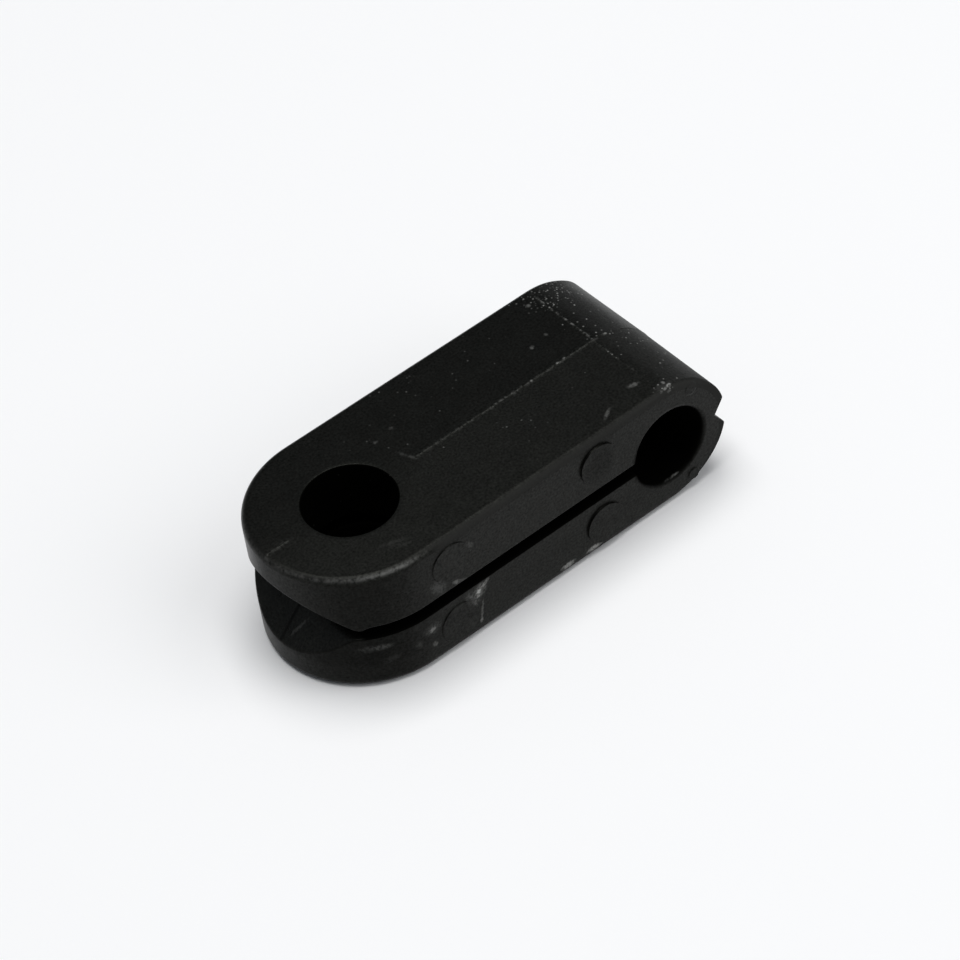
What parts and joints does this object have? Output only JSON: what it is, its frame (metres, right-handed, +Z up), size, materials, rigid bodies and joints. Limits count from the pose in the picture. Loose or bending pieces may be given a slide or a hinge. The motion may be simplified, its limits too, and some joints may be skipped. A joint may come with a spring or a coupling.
{
  "type": "brake line clip",
  "caption": "Moulded black plastic clip that holds a brake pipe in a split cross bore and is closed and fixed by one bolt through both jaws.",
  "frame": {"origin": "on the bolt axis, at the bottom seating face", "axes": "+X from the bolt to the pipe, +Y along the pipe bore, +Z up along the bolt"},
  "size_m": [0.0277, 0.0121, 0.0086],
  "materials": {
    "black_nylon": "as moulded, satin, with light scuffs and dust"
  },
  "bodies": {
    "root": {"clip_body": "black_nylon"}
  },
  "joints": []
}
